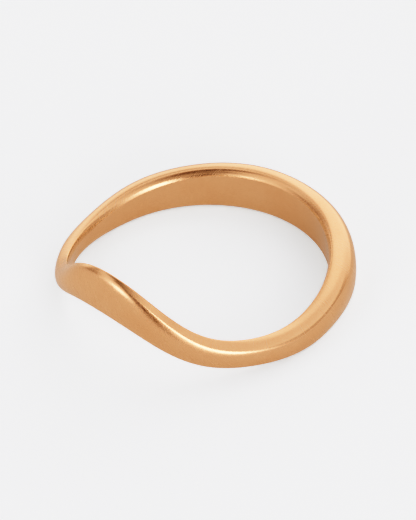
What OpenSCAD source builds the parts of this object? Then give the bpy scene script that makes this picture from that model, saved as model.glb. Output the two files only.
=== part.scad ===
// A plain finger ring with one wave in it: a single solid band, straight against the
// finger, whose two edges sweep up together into a crest on one side. The wall is thin
// at the crest, grows all the way round and is thickest and tallest at the back.
// Millimetres. The origin is on the axis of the finger hole, on the surface that the
// ring lies on, +Z runs up that axis and the crest points along -Y.

/* [Finger hole] */
// Inside diameter of the band, that of a US size 6 1/2
finger_d = 17; // [14:0.5:22]

/* [Band] */
// Height of the crest's lower edge above the surface
crest_lift = 3.8; // [2:0.1:5]
// How far round the upper edge's crest is turned from the lower edge's, in degrees
crest_lean = 3; // [-6:1:6]
// Factor on the thickness of the wall all round
wall_factor = 1; // [0.9:0.05:1.4]

/* [Edges] */
// How far the soft rounding at both rims goes down the wall of the finger hole
rim_drop = 0.4; // [0.2:0.02:0.46]
// How far that rounding leans out where it meets the wall, which leaves a crisp line
rim_lean = 0.14; // [0.08:0.02:0.2]
// How far round from the crest the row of rim widths is turned, in degrees
rim_turn = 32; // [-60:4:60]
// Size of the rounding on the lower outer edge
edge_round = 0.28; // [0.1:0.02:0.3]
// Factor on how far the ridge's rounding reaches over the upper face
ridge_spread = 1; // [0.5:0.1:1.5]

/* [Smoothness] */
// Number of sections round the band
stations = 160; // [90:10:180]

/* [Hidden] */

bore_r = finger_d / 2;
// Angle between two rows of the table below
row_step = 20;
half_turn = 180;
row_waves = half_turn / row_step;
// Flats that make up each rounding of a rim, the lower outer edge, the ridge, the outer face
// and the upper face
rim_steps = 4;
edge_steps = 5;
ridge_steps = 6;
face_steps = 5;
top_steps = 3;
// How far the sweep reaches into the finger hole, and the hole past the band
bore_skin = 0.05;
bore_over = 1;
// Sides that the round finger hole is drawn with
bore_sides = 240;
// Taken off the lower edge all round, so that the back half lies flat on the surface
flat_cut = 0.005;
// Most of a face that a rounding may take up: a rim's, the lower outer edge's, and the ridge's
// over the upper face and down the outer face
rim_share = 0.55;
edge_share = 0.4;
over_share = 0.45;
ridge_share = 0.55;

// One row for every 20 degrees from the crest to the back; both sides are alike but for
// the turned rims.
// lift: the lower edge's height, as a share of crest_lift
// height: from the lower edge to the upper rim of the finger hole
// ridge_t: thickness of the wall at its upper outer edge, the ridge
// ridge_drop: how far the ridge lies below that rim
// foot_t: thickness of the wall at its lower outer edge
// belly: how far the outer face swells out between the two
// crown: how far the upper face swells up
// ridge_round: how far the ridge's rounding runs down the outer face
// ridge_over: how far it reaches over the upper face
// rim_over: how far a rim's rounding reaches over the face beside it, turned by rim_turn
//  [lift, height, ridge_t, ridge_drop, foot_t, belly, crown, ridge_round, ridge_over, rim_over]
sections = [
    [1.00, 3.35, 0.58, 0.30, 0.75, 0.13, 0.01, 1.25, 0.42, 0.15],
    [0.78, 3.04, 0.53, 0.44, 0.70, 0.26, 0.00, 0.40, 0.14, 0.15],
    [0.38, 2.19, 0.68, 0.46, 0.84, 0.23, 0.01, 0.20, 0.10, 0.15],
    [0.18, 1.73, 0.95, 0.41, 1.02, 0.15, 0.06, 0.20, 0.12, 0.10],
    [0.07, 1.78, 1.15, 0.41, 1.14, 0.13, 0.11, 0.20, 0.34, 0.10],
    [0.00, 2.29, 1.35, 0.38, 1.16, 0.14, 0.14, 0.16, 0.58, 0.10],
    [0.00, 2.72, 1.50, 0.34, 1.38, 0.16, 0.14, 0.30, 0.62, 0.25],
    [0.00, 3.07, 1.60, 0.38, 1.66, 0.16, 0.13, 0.80, 0.62, 0.40],
    [0.00, 3.24, 1.62, 0.32, 1.66, 0.16, 0.12, 1.00, 0.60, 0.46],
    [0.00, 3.33, 1.60, 0.38, 1.65, 0.16, 0.12, 1.00, 0.60, 0.46],
];
lift = 0;
height = 1;
ridge_t = 2;
ridge_drop = 3;
foot_t = 4;
belly = 5;
crown = 6;
ridge_round = 7;
ridge_over = 8;
rim_over = 9;

// Smooth curve through evenly spaced rows: each row's share at an angle x away from it
function share(x) =
    abs(sin(x / 2)) < 0.000001 ? 1 : sin(row_waves * x) / (2 * row_waves * tan(x / 2));

// A row's share at angle a, with its twin on the other side of the crest
function row_share(i, a) =
    share(a - i * row_step) + (i == 0 || i == row_waves ? 0 : share(a + i * row_step));

// One column of the table at angle a from the crest
function size_at(column, a) =
    [for (row = sections) row[column]] * [for (i = [0:row_waves]) row_share(i, a)];

// Height of the lower edge at angle a, never under the surface
function lower_edge(a) = max(0, crest_lift * size_at(lift, a) - flat_cut);

// Height of the upper rim of the finger hole at angle a
function upper_edge(a) =
    crest_lift * size_at(lift, a - crest_lean) + size_at(height, a - crest_lean);

// A face of the section is [start, end, rise]: it runs from one corner to the next and
// swells out by rise halfway. Its outward direction, and its point and slope at a share s
function face_out(face) =
    let (along = face[1] - face[0]) [along[1], -along[0]] / norm(along);
function face_point(face, s) =
    face[0] + s * (face[1] - face[0]) + 4 * s * (1 - s) * face[2] * face_out(face);
function face_slope(face, s) =
    face[1] - face[0] + 4 * (1 - 2 * s) * face[2] * face_out(face);

// Share of a face that the length d takes up, or the given share if that is less
function face_share(face, d, most) = min(d / norm(face[1] - face[0]), most);

// Points of a face between two shares of it, without the ends
function face_run(face, first, last, steps) =
    [for (i = [1:steps - 1]) face_point(face, first + (last - first) * i / steps)];

// Rounding that leaves one face at its share s_a and joins the next at s_b, with no kink
function rounding(face_a, s_a, face_b, s_b, steps) =
    let (p = face_point(face_a, s_a),
        q = face_point(face_b, s_b),
        slope_a = face_slope(face_a, s_a),
        slope_b = face_slope(face_b, s_b),
        corner = p + cross(q - p, slope_b) / cross(slope_a, slope_b) * slope_a)
    [for (i = [0:steps]) let (s = i / steps)
        (1 - s) * (1 - s) * p + 2 * s * (1 - s) * corner + s * s * q];

// Point just inside the finger hole, straight on from where a rim's rounding meets its wall
function past_wall(turn, wall_end) = wall_end + bore_skin / turn[0] * (wall_end - turn);

function without_first(list) = [for (i = [1:len(list) - 1]) list[i]];
function without_last(list) = [for (i = [0:len(list) - 2]) list[i]];

// Closed section of the wall at angle a: [distance out from the hole's wall, height]
function section(a) =
    let (low = lower_edge(a),
        high = upper_edge(a),
        inner_foot = [0, low],
        inner_top = [0, high],
        foot = [wall_factor * size_at(foot_t, a), low],
        ridge = [wall_factor * size_at(ridge_t, a), high - size_at(ridge_drop, a)],
        bottom = [inner_foot, foot, 0],
        outer = [foot, ridge, size_at(belly, a)],
        top = [ridge, inner_top, size_at(crown, a)],
        rim_reach = rim_lean + size_at(rim_over, a - rim_turn),
        ridge_run = size_at(ridge_round, a),
        foot_turn = inner_foot + [rim_lean, 0],
        foot_wall = inner_foot + [0, rim_drop],
        top_turn = inner_top + rim_lean / norm(ridge - inner_top) * (ridge - inner_top),
        top_wall = inner_top - [0, rim_drop],
        rim_end = face_share(bottom, rim_reach, rim_share),
        edge_start = 1 - face_share(bottom, edge_round, edge_share),
        edge_end = face_share(outer, edge_round, edge_share),
        ridge_start = 1 - face_share(outer, ridge_run, ridge_share),
        ridge_end = face_share(top, ridge_spread * size_at(ridge_over, a), over_share),
        rim_start = 1 - face_share(top, rim_reach, rim_share))
    concat(
        [past_wall(foot_turn, foot_wall)],
        without_first(rounding([foot_wall, foot_turn, 0], 0, bottom, rim_end, rim_steps)),
        rounding(bottom, edge_start, outer, edge_end, edge_steps),
        face_run(outer, edge_end, ridge_start, face_steps),
        rounding(outer, ridge_start, top, ridge_end, ridge_steps),
        face_run(top, ridge_end, rim_start, top_steps),
        without_last(rounding(top, rim_start, [top_turn, top_wall, 0], 1, rim_steps)),
        [past_wall(top_turn, top_wall)]);

// The section at angle a, set out round the finger hole
function placed_section(a) =
    [for (p = section(a)) [(bore_r + p[0]) * sin(a), -(bore_r + p[0]) * cos(a), p[1]]];

// Closed sweep through all the sections
module swept_band() {
    rings = [for (i = [0:stations - 1]) placed_section(360 * i / stations)];
    count = len(rings[0]);
    points = [for (ring = rings) each ring];
    faces = [for (i = [0:stations - 1], k = [0:count - 1])
        let (j = (i + 1) % stations, m = (k + 1) % count)
        [i * count + k, i * count + m, j * count + m, j * count + k]];
    polyhedron(points, faces);
}

// Straight round hole for the finger, longer than the band is tall
module finger_hole() {
    tallest = max([for (row = sections) row[height]]);
    translate([0, 0, -bore_over])
    cylinder(r = bore_r, h = crest_lift + 2 * tallest + 2 * bore_over, $fn = bore_sides);
}

module band() {
    color([0.85, 0.62, 0.38])
    difference() {
        swept_band();
        finger_hole();
    }
}

band();
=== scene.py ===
import math
import bpy
from mathutils import Matrix, Vector


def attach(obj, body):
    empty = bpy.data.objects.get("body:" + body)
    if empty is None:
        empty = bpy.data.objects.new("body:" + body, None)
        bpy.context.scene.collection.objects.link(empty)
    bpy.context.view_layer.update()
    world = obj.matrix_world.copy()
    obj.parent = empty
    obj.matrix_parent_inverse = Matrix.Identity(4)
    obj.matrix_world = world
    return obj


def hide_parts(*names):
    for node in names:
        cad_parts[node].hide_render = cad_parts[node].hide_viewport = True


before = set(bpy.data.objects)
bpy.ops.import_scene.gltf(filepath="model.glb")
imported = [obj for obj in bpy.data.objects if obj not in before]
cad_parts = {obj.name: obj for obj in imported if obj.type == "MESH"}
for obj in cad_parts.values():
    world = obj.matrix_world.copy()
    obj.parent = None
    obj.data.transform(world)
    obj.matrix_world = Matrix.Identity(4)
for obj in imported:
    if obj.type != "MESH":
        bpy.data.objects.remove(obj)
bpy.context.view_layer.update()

mm = 0.001


# the band: lengths in mm, angles in degrees from the crest
band = {
    "holeDiameter": 17.0,
    "crestLift": 3.8,       # height of the crest's lower edge
    "crestLean": 3.0,       # turn of the upper edge's crest
    "rimDrop": 0.40,        # how far the soft rounding goes down the wall of the hole
    "rimLean": 0.14,        # how far it leans out there, which leaves a crisp line
    "rimTurn": 32.0,        # turn of the rim's widths from the crest
    "edgeRound": 0.28,      # lower outer edge
    "rowStep": 20,          # between two rows, which go from the crest to the back
    # lift is the lower edge's height as a share of crestLift, and height goes from there to the
    # hole's upper rim; ridgeWall and footWall are the wall's thickness at the outer face's two ends,
    # ridgeDrop is the ridge's depth under the rim; belly and crown are how far the outer and upper
    # faces swell; the ridge's rounding runs ridgeRound down the outer face and ridgeOver over the
    # upper one, and a rim's rounding runs rim over the face beside it
    "columns": ("lift", "height", "ridgeWall", "ridgeDrop", "footWall", "belly", "crown",
                "ridgeRound", "ridgeOver", "rim"),
    "rows": [
        (1.00, 3.35, 0.58, 0.30, 0.75, 0.13, 0.01, 1.25, 0.42, 0.15),
        (0.78, 3.04, 0.53, 0.44, 0.70, 0.26, 0.00, 0.40, 0.14, 0.15),
        (0.38, 2.19, 0.68, 0.46, 0.84, 0.23, 0.01, 0.20, 0.10, 0.15),
        (0.18, 1.73, 0.95, 0.41, 1.02, 0.15, 0.06, 0.20, 0.12, 0.10),
        (0.07, 1.78, 1.15, 0.41, 1.14, 0.13, 0.11, 0.20, 0.34, 0.10),
        (0.00, 2.29, 1.35, 0.38, 1.16, 0.14, 0.14, 0.16, 0.58, 0.10),
        (0.00, 2.72, 1.50, 0.34, 1.38, 0.16, 0.14, 0.30, 0.62, 0.25),
        (0.00, 3.07, 1.60, 0.38, 1.66, 0.16, 0.13, 0.80, 0.62, 0.40),
        (0.00, 3.24, 1.62, 0.32, 1.66, 0.16, 0.12, 1.00, 0.60, 0.46),
        (0.00, 3.33, 1.60, 0.38, 1.65, 0.16, 0.12, 1.00, 0.60, 0.46),
    ],
    # most of a face that a rounding may take up
    "rimShare": 0.55, "edgeShare": 0.4, "ridgeShare": 0.55, "overShare": 0.45,
    "stations": 480,        # sections round the band
    "roundSteps": 10,
    "faceSteps": 14,
    "wallSteps": 8,
    "flatSteps": 6,
}


def rowShare(x):
    # how much a row counts at x degrees from it, so that the rows join in one smooth wave
    waves = 180 / band["rowStep"]
    half = math.radians(x) / 2
    if abs(math.sin(half)) < 1e-6:
        return 1.0
    return math.sin(2 * waves * half) / (2 * waves * math.tan(half))


def sizesAt(angle):
    # both sides of the crest are alike, so all rows but the first and last count twice
    last = len(band["rows"]) - 1
    sizes = [0.0] * len(band["columns"])
    for i, row in enumerate(band["rows"]):
        share = rowShare(angle - i * band["rowStep"])
        if 0 < i < last:
            share += rowShare(angle + i * band["rowStep"])
        sizes = [s + share * value for s, value in zip(sizes, row)]
    return dict(zip(band["columns"], sizes))


def facePoint(face, share):
    # a face goes from one corner to the next and swells out by its rise
    start, end, rise = face
    along = end - start
    out = Vector((along.y, -along.x)).normalized()
    return start + share * along + 4 * share * (1 - share) * rise * out


def faceDirection(face, share):
    start, end, rise = face
    along = end - start
    out = Vector((along.y, -along.x)).normalized()
    return along + 4 * (1 - 2 * share) * rise * out


def faceShare(face, distance, most):
    return min(distance / (face[1] - face[0]).length, most)


def faceRun(face, first, last, steps):
    # inner points of a face between two shares of it
    return [facePoint(face, first + (last - first) * i / steps) for i in range(1, steps)]


def rounding(faceA, shareA, faceB, shareB, steps):
    # leaves one face and joins the next without a kink
    p, q = facePoint(faceA, shareA), facePoint(faceB, shareB)
    u, v = faceDirection(faceA, shareA), faceDirection(faceB, shareB)
    corner = p + u * ((q - p).cross(v) / u.cross(v))
    shares = [i / steps for i in range(steps + 1)]
    return [(1 - s) ** 2 * p + 2 * s * (1 - s) * corner + s * s * q for s in shares]


def bandSection(angle):
    # closed outline as points (out from the hole, height), and where in it the hole's wall starts
    size = sizesAt(angle)
    leant = sizesAt(angle - band["crestLean"])
    low = max(0.0, band["crestLift"] * size["lift"])
    high = band["crestLift"] * leant["lift"] + leant["height"]
    innerFoot, innerTop = Vector((0, low)), Vector((0, high))
    foot = Vector((size["footWall"], low))
    ridge = Vector((size["ridgeWall"], high - size["ridgeDrop"]))
    bottom = (innerFoot, foot, 0)
    outer = (foot, ridge, size["belly"])
    top = (ridge, innerTop, size["crown"])
    drop, lean, steps = band["rimDrop"], band["rimLean"], band["roundSteps"]
    rimReach = lean + sizesAt(angle - band["rimTurn"])["rim"]

    lowerLean = (innerFoot + Vector((0, drop)), innerFoot + Vector((lean, 0)), 0)
    upperLean = (innerTop + (ridge - innerTop).normalized() * lean, innerTop - Vector((0, drop)), 0)
    rimEnd = faceShare(bottom, rimReach, band["rimShare"])
    rimStart = 1 - faceShare(top, rimReach, band["rimShare"])
    edgeStart = 1 - faceShare(bottom, band["edgeRound"], band["edgeShare"])
    edgeEnd = faceShare(outer, band["edgeRound"], band["edgeShare"])
    ridgeStart = 1 - faceShare(outer, size["ridgeRound"], band["ridgeShare"])
    ridgeEnd = faceShare(top, size["ridgeOver"], band["overShare"])

    outline = rounding(lowerLean, 0, bottom, rimEnd, steps)
    outline += faceRun(bottom, rimEnd, edgeStart, band["flatSteps"])
    outline += rounding(bottom, edgeStart, outer, edgeEnd, steps)
    outline += faceRun(outer, edgeEnd, ridgeStart, band["faceSteps"])
    outline += rounding(outer, ridgeStart, top, ridgeEnd, steps)
    outline += faceRun(top, ridgeEnd, rimStart, band["flatSteps"])
    outline += rounding(top, rimStart, upperLean, 1, steps)
    wallStart = len(outline) - 1
    wall = (outline[-1], outline[0], 0)
    outline += faceRun(wall, 0, 1, band["wallSteps"])
    return outline, wallStart


def makeBand():
    radius = band["holeDiameter"] / 2
    stations = band["stations"]
    points, faces = [], []
    for i in range(stations):
        angle = 360 * i / stations
        outline, wallStart = bandSection(angle)
        outward = Vector((math.sin(math.radians(angle)), -math.cos(math.radians(angle)), 0))
        points += [((radius + p.x) * outward + Vector((0, 0, p.y))) * mm for p in outline]
    count = len(outline)
    for i in range(stations):
        j = (i + 1) % stations
        for k in range(count):
            m = (k + 1) % count
            faces.append((i * count + k, j * count + k, j * count + m, i * count + m))
    mesh = bpy.data.meshes.new("goldBand")
    mesh.from_pydata(points, [], faces)
    mesh.polygons.foreach_set("use_smooth", [True] * len(faces))
    # the hole's wall goes on to the outline's first point and has the second material
    mesh.polygons.foreach_set("material_index", [int(i % count >= wallStart) for i in range(len(faces))])
    # the two lines where the roundings meet that wall stay crisp
    sharp = mesh.attributes.new("sharp_edge", "BOOLEAN", "EDGE")
    ends = [(e.vertices[0] % count, e.vertices[1] % count) for e in mesh.edges]
    sharp.data.foreach_set("value", [a == b and a in (0, wallStart) for a, b in ends])
    mesh.validate()
    mesh.update()
    piece = bpy.data.objects.new("goldBand", mesh)
    bpy.context.scene.collection.objects.link(piece)
    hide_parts("band")
    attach(piece, "root")
    return piece


bandPiece = makeBand()
print("band made:", len(bandPiece.data.polygons), "faces")


# helpers for all the node trees
def newGroup(name, inputs, outputs):
    # inputs are (name, socket, value), outputs (name, socket)
    group = bpy.data.node_groups.new(name, "ShaderNodeTree")
    for label, kind, value in inputs:
        group.interface.new_socket(label, in_out="INPUT", socket_type=kind).default_value = value
    for label, kind in outputs:
        group.interface.new_socket(label, in_out="OUTPUT", socket_type=kind)
    return group, group.nodes.new("NodeGroupInput"), group.nodes.new("NodeGroupOutput")


def addNode(tree, kind, links=(), **settings):
    # links are (input, where it comes from); anything that isn't a socket is set as a plain value
    node = tree.nodes.new(kind)
    for name, value in settings.items():
        setattr(node, name, value)
    for socket, value in links:
        if isinstance(value, bpy.types.NodeSocket):
            tree.links.new(value, node.inputs[socket])
        else:
            node.inputs[socket].default_value = value
    return node


def maths(tree, operation, first, second=0.0, third=0.0):
    node = addNode(tree, "ShaderNodeMath", [(0, first), (1, second), (2, third)], operation=operation)
    return node.outputs[0]


def vectorMaths(tree, operation, *links):
    return addNode(tree, "ShaderNodeVectorMath", links, operation=operation).outputs[0]


def mixColours(tree, factor, first, second):
    # a colour Mix has its two colours at inputs 6 and 7 and gives the result at output 2
    first, second = (c if isinstance(c, bpy.types.NodeSocket) else (*c, 1) for c in (first, second))
    links = [("Factor", factor), (6, first), (7, second)]
    return addNode(tree, "ShaderNodeMix", links, data_type="RGBA").outputs[2]


# satin gold: short strokes brushed across the band, an even speckle and broad faint patches
gold = {
    "colour": (0.985, 0.475, 0.245),
    "deep": (0.895, 0.395, 0.190),      # where the strokes, speckle and patches are darkest
    "bounce": (0.82, 0.75, 0.66),       # in all light that it throws on other things
    "edge": (1.0, 0.95, 0.85),          # tint of its reflections at a grazing angle
    "brushing": 0.5,                    # spreads reflections round the band more than across it
    "mottling": {"Strokes": 0.3, "Speckle": 1.0, "Patches": 1.0},
    "patchesPerMm": 0.35,
    "strokeRange": (0.3, 0.7),          # of the strokes' noise, from the smoothest to the roughest
    "finishes": {
        "satinGold": {                  # faces and edges
            "spacing": 0.16,            # mm between strokes
            "length": 1.1,              # mm
            "slant": 4.0,               # degrees round the band for each mm across it
            "grain": 0.11,              # mm
            "roughest": 0.28, "smoothest": 0.24,
            "strokeDepth": 0.0005, "grainDepth": 0.0014,    # mm
        },
        "innerGold": {                  # the hole's wall, worn smoother
            "spacing": 0.20,
            "length": 1.6,
            "slant": 1.0,
            "grain": 0.13,
            "roughest": 0.27, "smoothest": 0.24,
            "strokeDepth": 0.0003, "grainDepth": 0.0010,
        },
    },
}


def makeBrushGroup():
    group, start, end = newGroup("brushMarks", [
        ("Spacing", "NodeSocketFloat", 0.2), ("Length", "NodeSocketFloat", 1.0),
        ("Slant", "NodeSocketFloat", 0.0), ("Grain", "NodeSocketFloat", 0.1)], [
        ("Strokes", "NodeSocketFloat"), ("Speckle", "NodeSocketFloat"), ("Patches", "NodeSocketFloat")])
    inputs = start.outputs
    position = addNode(group, "ShaderNodeTexCoord").outputs["Object"]
    place = vectorMaths(group, "SCALE", (0, position), ("Scale", 1 / mm))
    parts = addNode(group, "ShaderNodeSeparateXYZ", [(0, place)]).outputs
    flat = addNode(group, "ShaderNodeCombineXYZ", [(0, parts[0]), (1, parts[1])]).outputs[0]
    outward = addNode(group, "ShaderNodeVectorMath", [(0, flat)], operation="LENGTH").outputs["Value"]
    across = maths(group, "ADD", outward, parts[2])
    # round the band all points of one stroke share a direction from the hole's axis
    turn = maths(group, "MULTIPLY", across, inputs["Slant"])
    turned = addNode(group, "ShaderNodeVectorRotate", [
        ("Vector", flat), ("Angle", turn)], rotation_type="Z_AXIS")
    strokesAround = maths(group, "DIVIDE", band["holeDiameter"] / 2, inputs["Spacing"])
    around = vectorMaths(group, "NORMALIZE", (0, turned.outputs[0]))
    around = vectorMaths(group, "SCALE", (0, around), ("Scale", strokesAround))
    strokesAlong = maths(group, "DIVIDE", across, inputs["Length"])
    along = addNode(group, "ShaderNodeCombineXYZ", [(2, strokesAlong)]).outputs[0]
    stroke = vectorMaths(group, "ADD", (0, around), (1, along))
    specksPerMm = maths(group, "DIVIDE", 1.0, inputs["Grain"])
    speck = vectorMaths(group, "SCALE", (0, place), ("Scale", specksPerMm))
    # marks, their place, scale and detail
    for name, vector, scale, detail in (("Strokes", stroke, 1.0, 1.0),
                                        ("Speckle", speck, 1.0, 1.0),
                                        ("Patches", place, gold["patchesPerMm"], 2.0)):
        noise = addNode(group, "ShaderNodeTexNoise", [
            ("Vector", vector), ("Scale", scale), ("Detail", detail)])
        group.links.new(noise.outputs[0], end.inputs[name])
    return group


def makeGold(name, finish, brushGroup):
    material = bpy.data.materials.new(name)
    material.use_nodes = True
    tree = material.node_tree
    shader = tree.nodes["Principled BSDF"]
    brush = addNode(tree, "ShaderNodeGroup", [
        ("Spacing", finish["spacing"]), ("Length", finish["length"]),
        ("Slant", math.radians(finish["slant"])), ("Grain", finish["grain"])], node_tree=brushGroup)
    marks = brush.outputs

    # each kind of mark swings the colour a little round its middle
    swing = 0.5
    for name, strength in gold["mottling"].items():
        swing = maths(tree, "MULTIPLY_ADD", maths(tree, "SUBTRACT", marks[name], 0.5), strength, swing)
    swing = addNode(tree, "ShaderNodeClamp", [(0, swing)]).outputs[0]
    colour = mixColours(tree, swing, gold["deep"], gold["colour"])
    # light that the gold throws on the table and on itself is kept pale, so neither turns red
    ray = addNode(tree, "ShaderNodeLightPath")
    seen = mixColours(tree, ray.outputs["Is Camera Ray"], gold["bounce"], colour)
    tree.links.new(seen, shader.inputs["Base Color"])

    rough = addNode(tree, "ShaderNodeMapRange", [
        ("Value", marks["Strokes"]),
        ("From Min", gold["strokeRange"][0]), ("From Max", gold["strokeRange"][1]),
        ("To Min", finish["smoothest"]), ("To Max", finish["roughest"])])
    tree.links.new(rough.outputs[0], shader.inputs["Roughness"])
    height = maths(tree, "MULTIPLY", marks["Strokes"], finish["strokeDepth"] * mm)
    height = maths(tree, "MULTIPLY_ADD", marks["Speckle"], finish["grainDepth"] * mm, height)
    bump = addNode(tree, "ShaderNodeBump", [("Height", height), ("Distance", 1.0)])
    tree.links.new(bump.outputs[0], shader.inputs["Normal"])
    around = addNode(tree, "ShaderNodeTangent", direction_type="RADIAL", axis="Z")
    tree.links.new(around.outputs[0], shader.inputs["Tangent"])
    shader.inputs["Anisotropic"].default_value = gold["brushing"]
    shader.inputs["Metallic"].default_value = 1
    shader.inputs["Specular Tint"].default_value = (*gold["edge"], 1)
    return material


brushGroup = makeBrushGroup()
for name, finish in gold["finishes"].items():
    bandPiece.data.materials.append(makeGold(name, finish, brushGroup))
print("gold made")


# the table is a pale sheet, lit a little from below to keep its shadows soft
table = {
    "size": 2.6,                      # m
    "shown": (1.203, 1.203, 1.235),   # brighter than white to the camera, as an overexposed sweep is
    "mirrored": (0.69, 0.69, 0.69),   # and a plain pale sheet in the metal
    "shownGlow": 0.32,
    "mirroredGlow": 0.18,
    "cloud": 9.0,                     # mm, size of its broad faint unevenness
    "grain": 0.35,                    # mm, size of the sheet's grain
    "detail": 2.0,
    "shade": 0.985,                   # its darkest tone, as a share of its palest
    "grainDepth": 0.002,              # mm
}


def makeTable():
    half = table["size"] / 2
    corners = [(-half, -half, 0), (half, -half, 0), (half, half, 0), (-half, half, 0)]
    mesh = bpy.data.meshes.new("table")
    mesh.from_pydata(corners, [], [(0, 1, 2, 3)])
    piece = bpy.data.objects.new("table", mesh)
    bpy.context.scene.collection.objects.link(piece)
    material = bpy.data.materials.new("tableTop")
    material.use_nodes = True
    tree = material.node_tree
    tree.nodes.clear()
    place = addNode(tree, "ShaderNodeTexCoord").outputs["Object"]

    def unevenness(size):
        scale = 1 / (table[size] * mm)
        noise = addNode(tree, "ShaderNodeTexNoise", [
            ("Vector", place), ("Scale", scale), ("Detail", table["detail"])])
        return noise.outputs[0]

    cloud, grain = unevenness("cloud"), unevenness("grain")
    tone = maths(tree, "MULTIPLY", maths(tree, "ADD", cloud, grain), 0.5)
    height = maths(tree, "MULTIPLY", grain, table["grainDepth"] * mm)
    bump = addNode(tree, "ShaderNodeBump", [("Height", height), ("Distance", 1.0)])
    sides = []
    for side in ("mirrored", "shown"):
        colour = mixColours(tree, tone, [table["shade"] * v for v in table[side]], table[side])
        sheet = addNode(tree, "ShaderNodeBsdfDiffuse", [("Color", colour), ("Normal", bump.outputs[0])])
        glow = addNode(tree, "ShaderNodeEmission", [("Strength", table[side + "Glow"])])
        both = addNode(tree, "ShaderNodeAddShader", [(0, sheet.outputs[0]), (1, glow.outputs[0])])
        sides.append(both.outputs[0])
    ray = addNode(tree, "ShaderNodeLightPath")
    mix = addNode(tree, "ShaderNodeMixShader", [
        (0, ray.outputs["Is Camera Ray"]), (1, sides[0]), (2, sides[1])])
    addNode(tree, "ShaderNodeOutputMaterial", [("Surface", mix.outputs[0])])
    mesh.materials.append(material)


makeTable()
print("table made")


# the studio is a white tent round the table, with soft dark gaps in it and a few brighter panels;
# angles in degrees, and a direction counts from the camera's round towards the picture's right
studio = {
    "low": 1.90,            # tent at the table's edge
    "high": 1.17,           # and overhead
    "backdrop": 1.80,       # what the camera sees past the table
    "gaps": {               # direction, half width, lowest, highest, softness, share of light gone
        "camera": (-8, 22, -20, 34, 4, 1.00),
        "left": (-104, 25, -14, 30, 16, 0.76),
        "right": (86, 34, -10, 33, 3, 0.59),
        "overhead": (-72, 89, 65, 94, 3, 1.00),
        "front": (-29, 18, 34, 72, 8, 0.92),
        "frontRight": (6, 16, 36, 66, 6, 0.60),
        "back": (-147, 38, 25, 45, 7, 0.65),
    },
    "panels": {             # direction, half width, lowest, highest, softness, light added
        "key": (23, 10, 8, 28, 3, 8.4),
        "backRight": (159, 21, -18, 70, 3, 0.68),
        "backLeft": (-158, 19, -9, 42, 10, 0.31),
        "frontLow": (10, 8, -9, 11, 4, 1.86),
        "leftLow": (-45, 7, -9, 14, 3, 6.20),
    },
}
cameraAzimuth = 47.81       # degrees round from the crest's side


def makePanelGroup():
    group, start, end = newGroup("softPanel", [
        ("Direction", "NodeSocketVector", (0, 0, 0)), ("Azimuth", "NodeSocketFloat", 0.0),
        ("Half width", "NodeSocketFloat", 0.3), ("Lowest", "NodeSocketFloat", 0.0),
        ("Highest", "NodeSocketFloat", 1.0), ("Softness", "NodeSocketFloat", 0.1),
        ("Strength", "NodeSocketFloat", 1.0)], [("Light", "NodeSocketFloat")])
    inputs = start.outputs
    turn = maths(group, "MULTIPLY", inputs["Azimuth"], -1.0)
    turned = addNode(group, "ShaderNodeVectorRotate", [
        ("Vector", inputs["Direction"]), ("Angle", turn)], rotation_type="Z_AXIS")
    parts = addNode(group, "ShaderNodeSeparateXYZ", [(0, turned.outputs[0])])
    across = maths(group, "ABSOLUTE", maths(group, "ARCTAN2", parts.outputs[1], parts.outputs[0]))
    height = maths(group, "ARCSINE", parts.outputs[2])

    def soften(inside):
        # 0 outside the panel's edge, 1 inside it
        step = addNode(group, "ShaderNodeMapRange", [
            ("Value", inside), ("From Min", maths(group, "MULTIPLY", inputs["Softness"], -1.0)),
            ("From Max", inputs["Softness"])], interpolation_type="SMOOTHSTEP")
        return step.outputs[0]

    mask = soften(maths(group, "SUBTRACT", inputs["Half width"], across))
    mask = maths(group, "MULTIPLY", mask, soften(maths(group, "SUBTRACT", height, inputs["Lowest"])))
    mask = maths(group, "MULTIPLY", mask, soften(maths(group, "SUBTRACT", inputs["Highest"], height)))
    group.links.new(maths(group, "MULTIPLY", mask, inputs["Strength"]), end.inputs["Light"])
    return group


def makeStudio():
    world = bpy.data.worlds.new("studio")
    bpy.context.scene.world = world
    world.use_nodes = True
    tree = world.node_tree
    tree.nodes.clear()
    direction = addNode(tree, "ShaderNodeTexCoord").outputs["Generated"]
    height = addNode(tree, "ShaderNodeSeparateXYZ", [(0, direction)]).outputs[2]
    room = addNode(tree, "ShaderNodeMapRange", [
        ("Value", height), ("To Min", studio["low"]), ("To Max", studio["high"])]).outputs[0]
    panelGroup = makePanelGroup()

    def softPanel(name, azimuth, halfWidth, lowest, highest, softness, strength):
        # the group's azimuth counts from +X, the camera's from -Y
        panel = addNode(tree, "ShaderNodeGroup", [
            ("Direction", direction), ("Azimuth", math.radians(azimuth + cameraAzimuth - 90)),
            ("Half width", math.radians(halfWidth)), ("Lowest", math.radians(lowest)),
            ("Highest", math.radians(highest)), ("Softness", math.radians(softness)),
            ("Strength", strength)], node_tree=panelGroup, label=name)
        return panel.outputs["Light"]

    for name, sizes in studio["gaps"].items():
        gap = softPanel(name + "Gap", *sizes)
        room = maths(tree, "MULTIPLY", room, maths(tree, "SUBTRACT", 1.0, gap))
    for name, sizes in studio["panels"].items():
        room = maths(tree, "ADD", room, softPanel(name + "Panel", *sizes))
    ray = addNode(tree, "ShaderNodeLightPath")
    seen = addNode(tree, "ShaderNodeMix", [
        ("Factor", ray.outputs["Is Camera Ray"]),
        ("A", room), ("B", studio["backdrop"])], data_type="FLOAT")
    light = addNode(tree, "ShaderNodeBackground", [
        ("Color", (1, 1, 1, 1)), ("Strength", seen.outputs[0])])
    addNode(tree, "ShaderNodeOutputWorld", [("Surface", light.outputs[0])])


makeStudio()
print("studio made")


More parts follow.
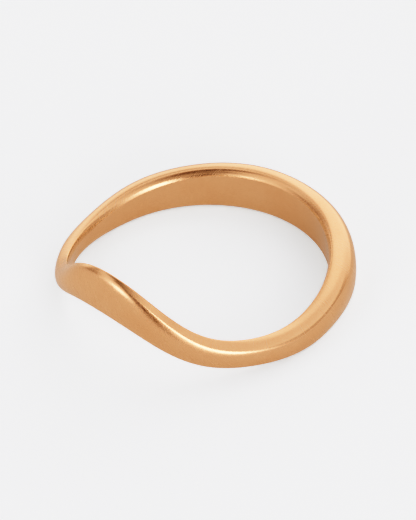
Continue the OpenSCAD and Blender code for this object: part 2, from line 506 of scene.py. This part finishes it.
# the picture's tones follow film: a soft toe in the darks and a long soft shoulder up to white
film = {
    "gain": 1.36,
    "toe": 0.077,
    "toePower": 2.1,
    "brightest": 4.0,       # light at the curve's end, all but white
    "points": 32,           # along the curve
}


def filmTone(light):
    exposed = film["gain"] * light * (light / (light + film["toe"])) ** film["toePower"]
    return 1 - math.exp(-exposed)


def setFilm():
    view = bpy.context.scene.view_settings
    view.view_transform = "Standard"
    view.use_curve_mapping = True
    mapping = view.curve_mapping
    mapping.white_level = (film["brightest"],) * 3
    curve = mapping.curves[3]       # all three colours together
    curve.points[1].location = (1, filmTone(film["brightest"]))
    for i in range(1, film["points"]):
        place = (i / film["points"]) ** 2       # closer together in the darks
        curve.points.new(place, filmTone(place * film["brightest"]))
    mapping.update()


setFilm()
print("film set")


camera = {
    "azimuth": cameraAzimuth,
    "elevation": 38.84,
    "roll": 3.81,
    "distance": 0.440,      # m
    "aim": (0.456, 1.893),  # mm right and up of the frame's origin, as the picture has it
    "pixelsPerMm": 15.203,
    "pictureHeight": 520,
    "sensor": 36.0,         # mm, along the picture's height
    "nearest": 0.05, "farthest": 10,    # m
}


def makeCamera():
    turn, tilt, roll = (math.radians(camera[k]) for k in ("azimuth", "elevation", "roll"))
    back = Vector((math.sin(turn) * math.cos(tilt), -math.cos(turn) * math.cos(tilt), math.sin(tilt)))
    level = Vector((math.cos(turn), math.sin(turn), 0))
    upright = back.cross(level)
    right = math.cos(roll) * level - math.sin(roll) * upright
    up = math.sin(roll) * level + math.cos(roll) * upright
    data = bpy.data.cameras.new("camera")
    data.sensor_width = camera["sensor"]
    reach = camera["distance"] / mm
    data.lens = camera["pixelsPerMm"] * reach / camera["pictureHeight"] * camera["sensor"]
    data.clip_start, data.clip_end = camera["nearest"], camera["farthest"]
    piece = bpy.data.objects.new("camera", data)
    aim = (camera["aim"][0] * right + camera["aim"][1] * up) * mm
    facing = Matrix((right, up, back)).transposed().to_4x4()
    piece.matrix_world = Matrix.Translation(aim + back * camera["distance"]) @ facing
    bpy.context.scene.collection.objects.link(piece)
    bpy.context.scene.camera = piece


makeCamera()
print("camera made")
